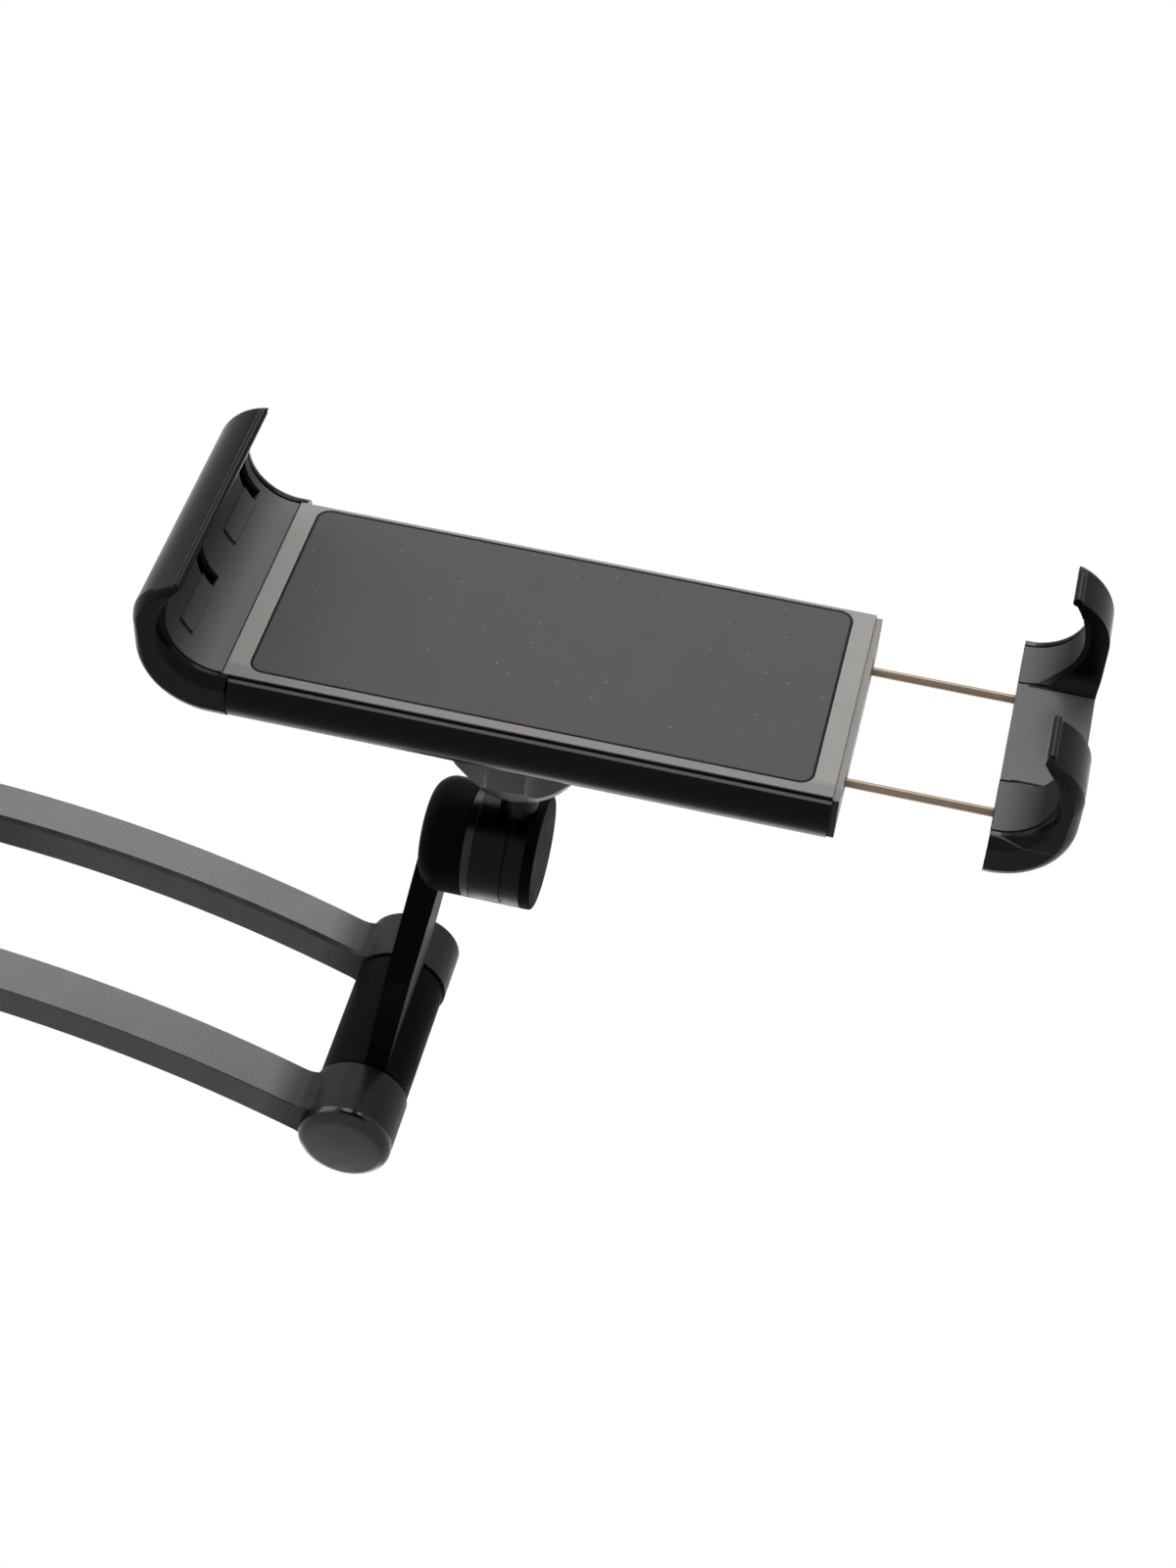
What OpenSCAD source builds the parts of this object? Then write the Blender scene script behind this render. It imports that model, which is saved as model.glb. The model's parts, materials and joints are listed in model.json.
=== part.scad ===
// Headrest tablet mount: post clamp, two-bar arm, blade arm, tilt hub, ball joint and sliding cradle.
// +Z is up along the posts, -Y points at the passenger, and the origin is on the axis of the left post.

/* [Post clamp] */
// Diameter of the headrest posts
post_d = 12; // [10:0.5:14]
// Distance between the two headrest posts
post_spacing = 140; // [120:1:160]
// Height of each post jaw
post_jaw_h = 30; // [22:1:33]
// Wall of a post jaw around its pad
post_jaw_wall = 6.5; // [5:0.5:9]
// Thickness of the rubber pad in a post jaw
post_pad_t = 2; // [1:0.25:3]
// Height of the rail between the post jaws
rail_h = 24; // [18:1:30]
// Depth of the rail from front to back
rail_d = 19; // [16:0.5:24]
// Wall of the rail around the sliding bar
rail_wall = 2.5; // [2:0.25:3.5]
// Space between the rail and the pads behind it
rail_gap = 4; // [3:0.5:8]
// Length of the rail from the left post to its open end
rail_len = 116; // [105:1:118]
// Length of the sliding bar inside the rail
bar_engaged = 66; // [50:1:80]
// Diameter of the locking knob
lock_knob_d = 24; // [18:1:28]
// Height of the locking knob
lock_knob_h = 10; // [8:0.5:14]

/* [Two-bar arm] */
// Distance between the rear and front pivots of the two-bar arm
fork_len = 195; // [170:1:220]
// How far each bar bows out between its ends
fork_bow = 16.5; // [12:0.5:22]
// How far the ends of the bars lie behind their pivots
bar_offset = 3; // [2:0.25:5]
// Angle of the two-bar arm from the rail
fork_angle = 6.5; // [-60:0.5:20]
// Thickness of each bar
bar_t = 8.4; // [6:0.2:9]
// Height of each bar
bar_h = 11.4; // [9:0.2:12]
// Height of each bar above the lower face of its rings
bar_up = 0.2; // [0.2:0.1:0.6]
// Diameter of the rings at the ends of the bars
ring_d = 22.8; // [22:0.2:28]
// Height of the rings at the ends of the bars
ring_h = 13.6; // [12.6:0.2:18]
// Radius of the fillets between bars and rings
ring_fillet = 5; // [3:0.5:7]
// Diameter of the vertical hinge pins
pin_d = 6; // [5:0.25:8]
// Height of the domed caps under the lower rings
cap_h = 4; // [4:0.2:7]
// Radius of the rounded edge of the domed caps
cap_round = 2.8; // [2:0.2:3]
// Height of the low caps on the upper rings
low_cap_h = 0.6; // [0.6:0.1:3]

/* [Blade arm] */
// Distance between the elbow pin and the tilt axis
blade_len = 79.5; // [70:0.5:100]
// Thickness of the blade at the tilt hub
blade_t = 6.6; // [5:0.2:9]
// Thickness of the blade at the elbow
blade_root_t = 5.2; // [4:0.2:8]
// How far the blade's root is set to the right of the elbow pin
blade_shift = 1.6; // [-3:0.2:3]
// Angle of the blade from straight ahead
blade_angle = 10; // [-30:0.5:30]
// Height of the hinge barrels on the blade and on the clamp
barrel_h = 34; // [28:0.5:40]
// Diameter of the hinge barrels
barrel_d = 21.8; // [19:0.2:26]
// Thickness of the washers between barrels and rings
hinge_washer_t = 0.8; // [0.5:0.1:1.5]

/* [Tilt hub and ball joint] */
// Diameter of the tilt hub
hub_d = 26.5; // [24:0.5:32]
// Width of the boss on the blade beside the hub
hub_boss_w = 3.8; // [2:0.2:6]
// Thickness of the friction washer of the hub
hub_washer_t = 2; // [1:0.1:2.5]
// Width of the turning part of the hub
hub_w = 11.8; // [11:0.2:14]
// Width of the end cap of the hub
hub_cap_w = 2.5; // [2:0.1:8]
// Distance between the tilt axis and the centre of the ball
stem_len = 41.4; // [40:0.1:60]
// Diameter of the ball
ball_d = 18; // [16:0.5:20]
// Diameter of the stem behind the ball
neck_d = 8; // [6.5:0.25:8.5]
// Outer diameter of the locking nut
nut_d = 34; // [32:0.5:40]
// Diameter of the locking nut at its rear end
nut_tail_d = 25.4; // [25:0.2:30]
// Number of grips around the locking nut
nut_grips = 6; // [5:1:8]

/* [Cradle] */
// Width of the cradle body between the jaws
cradle_w = 127.6; // [110:0.1:150]
// Height of the face of the cradle body
cradle_h = 56; // [50:0.5:70]
// Thickness of the cradle body
cradle_t = 12; // [11:0.5:15]
// How far the side beads stand out beyond the face
bead_out = 3.2; // [2:0.25:4]
// Wall of the cradle body
shell_wall = 2; // [1.5:0.25:2.5]
// Thickness of the front cover
cover_t = 2.4; // [2:0.1:3]
// Thickness of the rubber pad set into the front cover
pad_t = 1.2; // [0.8:0.1:1.6]
// Width of the border left and right of the pad
pad_border_x = 4.7; // [3:0.1:8]
// Width of the border below the pad
pad_border_low = 2.6; // [1.5:0.1:4]
// Width of the border above the pad
pad_border_high = 0.9; // [0.8:0.1:4]
// How far the sliding jaw stands open
jaw_open = 32; // [10:0.1:60]
// Diameter of the guide rods
rod_d = 1.9; // [1.6:0.1:3]
// Distance between the two guide rods
rod_spacing = 34; // [28:0.5:40]
// Length of the guide rods
rod_len = 112; // [100:1:112]

/* [Jaws] */
// How far the fixed jaw reaches out from the cradle body
left_reach = 18.4; // [16.6:0.2:20]
// How far the sliding jaw reaches out from the rods' sockets
right_reach = 16.8; // [16.6:0.2:20]
// How far a jaw stands in front of the face
jaw_front = 23.2; // [20:0.2:26]
// Thickness of the tip of a jaw's lip
lip_t = 2; // [1.6:0.1:3]
// Distance from the cradle body to the tip of a jaw's lip
lip_x = 8.4; // [6:0.2:10]
// Inner radius of a jaw
jaw_corner_r = 11; // [9:0.2:12]
// Distance from the cradle body to the inside of a jaw's wall
wall_x = 11.6; // [11:0.2:12.6]
// Radius of the outer edge at the ends of a jaw
rim_r = 6; // [3:0.2:6.2]
// Radius of the inner edge at the ends of a jaw
rim_in_r = 4.4; // [1:0.2:4.6]
// How fast the rounding at the ends of a jaw runs out towards its lip
rim_tilt = 4; // [0:0.5:5]
// Thickness of the rubber liners in the jaws
liner_t = 1.2; // [0.8:0.1:1.6]
// Height of the upper hook of the sliding jaw
hook_upper = 12.4; // [8:0.5:16]
// Height of the lower hook of the sliding jaw
hook_lower = 15; // [8:0.5:18]

/* [Hidden] */
$fn = 64;
eps = 0.01;
// Radial clearance of a pin that turns or slides in its bore
run_gap = 0.06;
// Clearance between curved faces that turn on each other
turn_gap = 0.3;
// Clearance around parts that are set into a recess
seat_gap = 0.15;

// Post clamp
post_r = post_d / 2;
post_pad_r = post_r + post_pad_t;
post_jaw_r = post_pad_r + post_jaw_wall;
rail_back = -post_pad_r - rail_gap;
rail_front = rail_back - rail_d;
rail_mid = (rail_back + rail_front) / 2;
slide_gap = 0.25;
bar_section = [rail_d - 2 * rail_wall - 2 * slide_gap, rail_h - 2 * rail_wall - 2 * slide_gap];
bar_from = rail_len - bar_engaged;
// Shortest stretch of rail left closed at the left post
rail_closed = 12;
lock_inset = 14;
lock_x = rail_len - lock_inset;
lock_screw_d = 5;
lock_boss_h = 3;
lock_grips = 9;
lock_scallop_r = 3;
lock_scallop = 1.2;
lock_skin = 3;
lock_knob_y = rail_front - lock_boss_h - turn_gap - lock_knob_h;
plate_t = 1;
plate_len = 16;
rail_corner = 3;
// How far the sliding bar can move in before its thick end meets the rail
slide_room = 34;
thick_from = rail_len + slide_room;

// Hinges, shared by the rear pivot and the elbow
barrel_r = barrel_d / 2;
ring_r = ring_d / 2;
pin_r = pin_d / 2;
ring_z = barrel_h / 2 + hinge_washer_t;
ring_top = ring_z + ring_h;
pin_shoulder = 3;
pin_head_d = pin_d + 2 * pin_shoulder;
pin_head_h = 2.4;
cap_recess = 4.4;
cap_plug_r = pin_head_d / 2 + 1.2;
neck_w = 15;
neck_gap = 3;
rear_pivot = [post_spacing / 2, rail_front - neck_gap - ring_r];
fork_dir = [cos(fork_angle), sin(fork_angle)];
elbow = rear_pivot + fork_len * fork_dir;
// Each bar is an arc that passes behind both pivots
fork_r = (pow(fork_len / 2, 2) + pow(fork_bow, 2)) / (2 * fork_bow);
bar_c = [fork_len / 2, fork_r - fork_bow + bar_offset];

// Tilt hub, along X from the middle of the blade's end
hub_r = hub_d / 2;
hub_from = blade_t / 2 + hub_boss_w + hub_washer_t;
hub_to = hub_from + hub_w;
// Where the ball stud stands on the hub
stud_x = hub_to - 3.4;
// The turned groove beside the stud
groove_x = hub_from + 7.3;
groove_w = 0.6;
washer_step = 0.4;
hub_edge = 5;
// Shallow recess in the end of the hub for its end cap
end_recess_r = hub_r - 3;
end_recess_h = 1;
tilt_bolt_d = 6;
tilt_head_d = 12;
tilt_head_h = 3;
bolt_cover_t = 1.2;
// Space between the bolt and the face of the hub
bolt_end_gap = 1.5;
ball_r = ball_d / 2;
shank_d = 5;
shank_depth = 7;
// Centres of the hub and of the ball in the plane of the row
hub_at = elbow + blade_len * [sin(blade_angle), -cos(blade_angle)];
ball_at = hub_at + [stud_x, -stem_len];

// Ball socket on the back of the cradle
seat_r = ball_r + turn_gap;
seat_t = 1.7;
socket_r = seat_r + seat_t + turn_gap;
socket_wall = 1.9;
socket_out = socket_r + socket_wall;
ball_y = cradle_t + socket_r - 0.2;
socket_len = 2;
collar_flange_t = 2.4;
nut_lip = 9;
nut_taper = 7;
nut_mouth_r = 9.8;
nut_scallop_r = 7;
nut_scallop = 2.4;
// How far the nut reaches over the socket, from the ball's centre
nut_cover = 8;
nut_from = ball_y - nut_cover;
nut_seat = ball_y + socket_len + collar_flange_t;
// Angle from the stem at which the collar ends, and the cap angle of the seat
mouth_angle = 57;
seat_angle = 50;
ball_x = 58.2;

// Cradle, with its own origin at the left end of the face at mid height
cradle_at = [ball_at[0] - ball_x, ball_at[1] - ball_y];
face_h = cradle_h / 2;
bead_r = cradle_t / 2 + 0.3;
pad_corner_r = 3;
bead_y = cradle_t - bead_r;
bead_z = face_h + bead_out - bead_r;
cover_step = 0.4;
inner_z = bead_z + 1.5;
end_wall = 3;
shell_from = 1.6;
rod_r = rod_d / 2;
rod_y = cradle_t / 2;
rod_z = rod_spacing / 2;
bush_d = 6.5;
bush_len = 12;
bush_gap = 0.03;
// How deep the guide rods sit in the sliding jaw
rod_in_jaw = 8;
collar_d = 5.5;
collar_len = 4;
end_plate_t = 1.4;
end_inset = 0.8;
notch_r = 2.7;
screw_r = 1.2;
screw_head_r = 2.4;
screw_head_h = 1.2;
boss_r = 3;
cover_screw_inset = [11.6, 14.6];
cover_screw_x = [cover_screw_inset[0], cradle_w - cover_screw_inset[1]];
cover_screw_z = 9;
jaw_screw_z = 11;
jaw_screw_depth = 6;
jaw_seam = 0.15;
jaw_h = 2 * (face_h + bead_out);
jaw_at = cradle_w + jaw_open;
// All arcs of the jaw section start at this height and turn about it
turn_y = -jaw_corner_r;
jaw_floor = wall_x - jaw_corner_r;
out_turn_y = -4;
jaw_out_r = cradle_t - out_turn_y;
lip_out_r = jaw_front + turn_y;
lip_in_r = arc_radius(wall_x - lip_x, jaw_front - lip_t + turn_y);
// Bed of the jaw liners: its depth, how near it comes to the ends of the jaw and how far it runs up the lip
liner_bed = liner_t + 0.05;
liner_end = 3.2;
liner_end_gap = 0.5;
liner_top = 6.5;
// Grip ribs and pockets of the fixed jaw
rib_t = 0.5;
rib_z = 14.4;
rib_h = 14;
pocket_h = 4;
pocket_depth = 1.2;
// Angles about the jaw's curl between which the pockets and the ribs run
pocket_from = -10;
pocket_to = 45;
rib_from = 22;
// How much longer the lip of the fixed jaw may be at its upper end, which leans out by the tilt of the rim
lip_lean = 4;
valley_r = 4.5;
liner_past_hook = 3;
lower_bed = [-jaw_h / 2 + liner_end, -jaw_h / 2 + hook_lower + liner_past_hook];
upper_bed = [jaw_h / 2 - hook_upper - liner_past_hook, jaw_h / 2 - liner_end];

// Radius of the arc that leaves a vertical line and moves in by dx over a height dy
function arc_radius(dx, dy) = (dx * dx + dy * dy) / (2 * dx);
// Centre of the circle that touches two circles, at distances r1 and r2 from their centres
function touching(c1, r1, c2, r2, side) =
    let(d = norm(c2 - c1), a = (r1 * r1 - r2 * r2 + d * d) / (2 * d))
    let(h = sqrt(r1 * r1 - a * a), u = (c2 - c1) / d)
    c1 + a * u + side * h * [-u[1], u[0]];

// Extrudes a profile drawn in Y and Z along +X
module along_x(len) {
    rotate([90, 0, 90]) linear_extrude(len) children();
}

// Extrudes a profile drawn in X and Z along +Y
module along_y(len) {
    mirror([0, 1, 0]) rotate([90, 0, 0]) linear_extrude(len) children();
}

// A cylinder along +Y from the point at
module rod_y(r, len, at) {
    translate(at) rotate([-90, 0, 0]) cylinder(r = r, h = len);
}

// A cylinder along +X from the point at
module rod_x(r, len, at) {
    translate(at) rotate([0, 90, 0]) cylinder(r = r, h = len);
}

module rounded_rect(size, r) {
    square([size[0] - 2 * r, size[1]], center = true);
    square([size[0], size[1] - 2 * r], center = true);
    for (sx = [-1, 1], sy = [-1, 1]) translate([sx * (size[0] / 2 - r), sy * (size[1] / 2 - r)]) circle(r);
}

// A grip outline: a disc with scallops cut around it
module scalloped(r, count, scallop_r, depth) {
    difference() {
        circle(r);
        for (i = [0 : count - 1]) rotate(i * 360 / count)
            translate([r + scallop_r - depth, 0]) circle(scallop_r);
    }
}

// The half-round jaw that bears on the outer side of a post, open towards +X
module post_jaw_outline() {
    difference() {
        union() {
            circle(post_jaw_r);
            translate([-post_jaw_r, rail_mid]) square([post_jaw_r, -rail_mid]);
        }
        circle(post_pad_r);
        translate([0, -3 * post_jaw_r]) square(6 * post_jaw_r);
    }
}

module post_pad() {
    linear_extrude(post_jaw_h, center = true) difference() {
        circle(post_pad_r);
        circle(post_r);
        translate([-0.4, -2 * post_jaw_r]) square(4 * post_jaw_r);
    }
}

module clamp_rail() color([0.10, 0.10, 0.11]) difference() {
    union() {
        translate([-post_jaw_r, rail_mid, 0]) along_x(rail_len + post_jaw_r)
            rounded_rect([rail_d, rail_h], rail_corner);
        linear_extrude(post_jaw_h, center = true) post_jaw_outline();
        translate([rear_pivot[0], rear_pivot[1], -barrel_h / 2]) {
            cylinder(r = barrel_r, h = barrel_h);
            translate([-neck_w / 2, 0, 0]) cube([neck_w, rail_mid - rear_pivot[1], barrel_h]);
        }
        rod_y(lock_screw_d / 2 + 4, lock_boss_h + rail_wall, [lock_x, rail_front - lock_boss_h, 0]);
    }
    translate([rail_closed, rail_mid, 0]) along_x(rail_len)
        square([rail_d - 2 * rail_wall, rail_h - 2 * rail_wall], center = true);
    translate([rear_pivot[0], rear_pivot[1], -barrel_h]) cylinder(r = pin_r + run_gap, h = 2 * barrel_h);
    rod_y(lock_screw_d / 2 + run_gap, lock_boss_h + 2 * rail_wall, [lock_x, rail_front - lock_boss_h - 1, 0]);
    post_clear();
}

// Room for the post and its pad through the left end of the rail
module post_clear() {
    translate([0, 0, -rail_h]) cylinder(r = post_pad_r, h = 2 * rail_h);
}

module left_post_pad() color([0.16, 0.16, 0.17]) post_pad();

module right_post_pad() color([0.16, 0.16, 0.17]) {
    translate([post_spacing, 0, 0]) mirror([1, 0, 0]) post_pad();
}

module slide_bar() color([0.12, 0.12, 0.13]) difference() {
    union() {
        translate([bar_from, rail_mid + plate_t / 2, 0]) along_x(post_spacing - bar_from)
            square([bar_section[0] - plate_t, bar_section[1]], center = true);
        translate([thick_from, rail_mid, 0]) along_x(post_spacing + post_jaw_r - thick_from)
            rounded_rect([rail_d, rail_h], rail_corner);
        translate([post_spacing, 0, 0]) mirror([1, 0, 0])
            linear_extrude(post_jaw_h, center = true) post_jaw_outline();
    }
    translate([post_spacing, 0, 0]) post_clear();
}

module pressure_plate() color([0.55, 0.55, 0.56]) {
    translate([lock_x, rail_front + rail_wall, 0]) along_y(plate_t)
        square([plate_len, bar_section[1]], center = true);
}

module lock_knob() color([0.07, 0.07, 0.08]) difference() {
    translate([lock_x, lock_knob_y, 0]) along_y(lock_knob_h)
        scalloped(lock_knob_d / 2, lock_grips, lock_scallop_r, lock_scallop);
    rod_y(lock_screw_d / 2, lock_knob_h, [lock_x, lock_knob_y + lock_skin, 0]);
}

module lock_screw() color([0.6, 0.6, 0.62]) {
    from = lock_knob_y + lock_skin;
    rod_y(lock_screw_d / 2, rail_front + rail_wall - from, [lock_x, from, 0]);
}

// Plan of one bar between [0, 0] and [fork_len, 0], bowed towards -Y
module bar_outline() {
    intersection() {
        difference() {
            translate(bar_c) circle(fork_r + bar_t / 2, $fn = 256);
            translate(bar_c) circle(fork_r - bar_t / 2, $fn = 256);
        }
        polygon([bar_c, [0, bar_offset] + 0.3 * ([0, bar_offset] - bar_c),
            [fork_len, bar_offset] + 0.3 * ([fork_len, bar_offset] - bar_c)]);
    }
    for (p = [0, fork_len]) translate([p, 0]) circle(ring_r);
    for (flip = [0, 1]) translate([flip * fork_len, 0]) mirror([flip, 0]) {
        bar_fillet(fork_r + bar_t / 2, 1);
        bar_fillet(fork_r - bar_t / 2, -1);
    }
}

// The fillet between the ring at the origin and the side of the bar that has the radius side_r
module bar_fillet(side_r, out) {
    f = touching([0, 0], ring_r + ring_fillet, bar_c, side_r + out * ring_fillet, -1);
    on_ring = f * ring_r / (ring_r + ring_fillet);
    on_bar = bar_c + (f - bar_c) * side_r / (side_r + out * ring_fillet);
    difference() {
        polygon([[0, 0], on_ring, f, on_bar]);
        translate(f) circle(ring_fillet);
    }
}

// A bar with its two rings, whose inner faces lie on z = 0; bar_from is the bar's distance from there
module fork_bar(bar_from) {
    difference() {
        union() {
            translate([0, 0, bar_from]) linear_extrude(bar_h) bar_outline();
            for (p = [0, fork_len]) translate([p, 0, 0]) cylinder(r = ring_r, h = ring_h);
        }
        for (p = [0, fork_len]) translate([p, 0, 0]) {
            translate([0, 0, -1]) cylinder(r = pin_r, h = ring_h + 2);
            translate([0, 0, ring_h - cap_recess]) cylinder(r = cap_plug_r, h = cap_recess + 1);
        }
    }
}

module at_fork() {
    translate([rear_pivot[0], rear_pivot[1], 0]) rotate([0, 0, fork_angle]) children();
}

module fork_upper_bar() color([0.33, 0.32, 0.32]) at_fork() {
    translate([0, 0, ring_z]) fork_bar(bar_up);
}

module fork_lower_bar() color([0.33, 0.32, 0.32]) at_fork() mirror([0, 0, 1]) {
    translate([0, 0, ring_z]) fork_bar(ring_h - bar_h - bar_up);
}

// A shouldered pin with a head in the recess of each ring
module hinge_pin() {
    seat = ring_top - cap_recess;
    translate([0, 0, -seat]) cylinder(r = pin_r, h = 2 * seat);
    for (s = [0, 1]) mirror([0, 0, s]) translate([0, 0, seat]) cylinder(r = pin_head_d / 2, h = pin_head_h);
}

// Half section of a domed cap: a short side, a rounded edge and a dome that runs on from it
module cap_section() {
    side_h = 0.8;
    edge_x = ring_r - cap_round;
    k = cap_h - side_h;
    dome_r = (edge_x * edge_x + k * k - cap_round * cap_round) / (2 * (k - cap_round));
    dome_c = [0, cap_h - dome_r];
    square([ring_r, side_h]);
    intersection() {
        translate([edge_x, side_h]) circle(cap_round);
        square([ring_r + 1, cap_h]);
    }
    intersection() {
        translate(dome_c) circle(dome_r, $fn = 128);
        polygon([dome_c, dome_c + 1.5 * ([edge_x, side_h] - dome_c), [0, 2 * cap_h]]);
        square([ring_r, cap_h]);
    }
    polygon([[0, 0], [edge_x, 0], [edge_x, side_h], [0, side_h + (cap_h - side_h) / 2]]);
}

// Half section of a low cap with a chamfered edge
module low_cap_section() {
    edge = low_cap_h / 2;
    low_r = ring_r - 0.8;
    polygon([[0, 0], [low_r, 0], [low_r, edge], [low_r - edge, low_cap_h], [0, low_cap_h]]);
}

// A cap drawn in half section by its children, with a skirt that fits the recess of a ring
module hinge_cap() color([0.2, 0.2, 0.21]) {
    skirt_r = cap_plug_r - seat_gap;
    skirt_h = cap_recess - pin_head_h;
    translate([0, 0, ring_top]) rotate_extrude() children();
    difference() {
        translate([0, 0, ring_top - skirt_h]) cylinder(r = skirt_r, h = skirt_h + eps);
        translate([0, 0, ring_top - skirt_h - 1]) cylinder(r = skirt_r - 1.5, h = skirt_h + 1);
    }
}

module hinge_washers() {
    for (s = [0, 1]) mirror([0, 0, s]) translate([0, 0, barrel_h / 2]) difference() {
        cylinder(r = barrel_r - 0.6, h = hinge_washer_t);
        translate([0, 0, -1]) cylinder(r = pin_r + run_gap, h = hinge_washer_t + 2);
    }
}

module rear_pin() color([0.6, 0.6, 0.62]) at_fork() hinge_pin();

module elbow_pin() color([0.6, 0.6, 0.62]) at_fork() translate([fork_len, 0, 0]) hinge_pin();

module rear_cap_upper() at_fork() hinge_cap() low_cap_section();

module rear_cap_lower() at_fork() mirror([0, 0, 1]) hinge_cap() cap_section();

module elbow_cap_upper() at_fork() translate([fork_len, 0, 0]) hinge_cap() low_cap_section();

module elbow_cap_lower() at_fork() translate([fork_len, 0, 0]) mirror([0, 0, 1]) hinge_cap() cap_section();

module rear_washers() color([0.75, 0.75, 0.73]) at_fork() hinge_washers();

module elbow_washers() color([0.75, 0.75, 0.73]) at_fork() translate([fork_len, 0, 0]) hinge_washers();

module at_elbow() {
    translate([elbow[0], elbow[1], 0]) children();
}

// Origin in the middle of the blade's end, with the tilt axis along X
module at_hub() {
    translate([hub_at[0], hub_at[1], 0]) children();
}

// The blade between the barrel and the hub: its plan cut to its side profile
module blade() {
    root = elbow + [blade_shift, 0];
    taper_y = elbow[1] + 0.55 * (hub_at[1] - elbow[1]);
    intersection() {
        translate([0, 0, -barrel_h / 2]) linear_extrude(barrel_h) polygon([
            root - [blade_root_t / 2, 0], root + [blade_root_t / 2, 0],
            hub_at + [blade_t / 2, 0], hub_at - [blade_t / 2, 0]]);
        translate([elbow[0] - barrel_d, 0, 0]) along_x(blade_len) polygon([
            [elbow[1], barrel_h / 2], [elbow[1], -barrel_h / 2], [taper_y, -barrel_h / 2],
            [hub_at[1], hub_edge - hub_r], [hub_at[1], hub_r - hub_edge], [taper_y, barrel_h / 2]]);
    }
}

// Half section of the blade's boss along the tilt axis, with a large rounded edge on its outer side
module boss_section() {
    boss_w = blade_t + hub_boss_w;
    square([hub_r - hub_edge, boss_w]);
    translate([0, hub_edge]) square([hub_r, boss_w - hub_edge]);
    translate([hub_r - hub_edge, hub_edge]) intersection() {
        circle(hub_edge);
        translate([-eps, -hub_edge]) square(hub_edge + 2 * eps);
    }
}

module blade_arm() color([0.14, 0.14, 0.15]) difference() {
    union() {
        at_elbow() cylinder(r = barrel_r, h = barrel_h, center = true);
        blade();
        at_hub() translate([-blade_t / 2, 0, 0]) rotate([0, 90, 0]) rotate_extrude() boss_section();
    }
    at_elbow() cylinder(r = pin_r + run_gap, h = 2 * barrel_h, center = true);
    at_hub() rod_x(tilt_bolt_d / 2, blade_t + hub_boss_w + 2, [-blade_t / 2 - 1, 0, 0]);
    at_hub() rod_x(tilt_head_d / 2 + seat_gap, tilt_head_h + 1, [-blade_t / 2 - 1, 0, 0]);
}

module tilt_bolt() color([0.6, 0.6, 0.62]) at_hub() {
    from = tilt_head_h - blade_t / 2;
    rod_x(tilt_bolt_d / 2, hub_to - bolt_end_gap - from, [from, 0, 0]);
    rod_x(tilt_head_d / 2, tilt_head_h - bolt_cover_t, [bolt_cover_t - blade_t / 2, 0, 0]);
}

module bolt_cover() color([0.1, 0.1, 0.11]) at_hub() {
    rod_x(tilt_head_d / 2, bolt_cover_t, [-blade_t / 2, 0, 0]);
}

module tilt_washer() color([0.55, 0.54, 0.52]) at_hub() difference() {
    union() {
        rod_x(hub_r - groove_w, hub_washer_t, [hub_from - hub_washer_t, 0, 0]);
        rod_x(hub_r, hub_washer_t - washer_step, [hub_from - hub_washer_t + washer_step, 0, 0]);
    }
    rod_x(tilt_bolt_d / 2 + run_gap, hub_washer_t + 2, [hub_from - hub_washer_t - 1, 0, 0]);
}

module tilt_hub() color([0.12, 0.12, 0.13]) at_hub() difference() {
    rod_x(hub_r, hub_w, [hub_from, 0, 0]);
    rod_x(tilt_bolt_d / 2 + run_gap, hub_w + 2, [hub_from - 1, 0, 0]);
    difference() {
        rod_x(hub_r + 1, groove_w, [groove_x, 0, 0]);
        rod_x(hub_r - groove_w, groove_w, [groove_x, 0, 0]);
    }
    rod_y(shank_d / 2, shank_depth + 1, [stud_x, -hub_r - 1, 0]);
    rod_x(end_recess_r, end_recess_h + 1, [hub_to - end_recess_h, 0, 0]);
}

// Half section of the hub's end cap along its axis, with a rounded edge
module end_cap_section() {
    edge = 0.8;
    square([hub_r - edge, hub_cap_w]);
    square([hub_r, hub_cap_w - edge]);
    translate([hub_r - edge, hub_cap_w - edge]) circle(edge);
}

module hub_end_cap() color([0.09, 0.09, 0.10]) at_hub() {
    translate([hub_to, 0, 0]) rotate([0, 90, 0]) rotate_extrude() end_cap_section();
    rod_x(end_recess_r - seat_gap, end_recess_h, [hub_to - end_recess_h + seat_gap, 0, 0]);
}

// The ball on its stem, with a shank that sits in the hub
module ball_stud() color([0.58, 0.58, 0.6]) at_hub() translate([stud_x, -stem_len, 0]) rotate([-90, 0, 0]) {
    cone_from = 16;
    cone_r = shank_d / 2 + 1.8;
    sphere(ball_r);
    cylinder(r = neck_d / 2, h = cone_from + eps);
    translate([0, 0, cone_from]) cylinder(r1 = neck_d / 2, r2 = cone_r, h = stem_len - hub_r - cone_from);
    translate([0, 0, stem_len - hub_r - eps]) cylinder(r = shank_d / 2, h = shank_depth);
}

module at_cradle() {
    translate([cradle_at[0], cradle_at[1], 0]) children();
}

// Solid of revolution about the ball's axis, drawn as radius against distance behind the ball's centre
module about_ball() {
    translate([ball_x, ball_y, 0]) rotate([-90, 0, 0]) rotate_extrude() children();
}

module ball_seat() color([0.7, 0.7, 0.68]) at_cradle() about_ball() intersection() {
    difference() {
        circle(seat_r + seat_t);
        circle(seat_r);
    }
    polygon([[0, 0], [0, -ball_d], [ball_d * tan(seat_angle), -ball_d]]);
}

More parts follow.
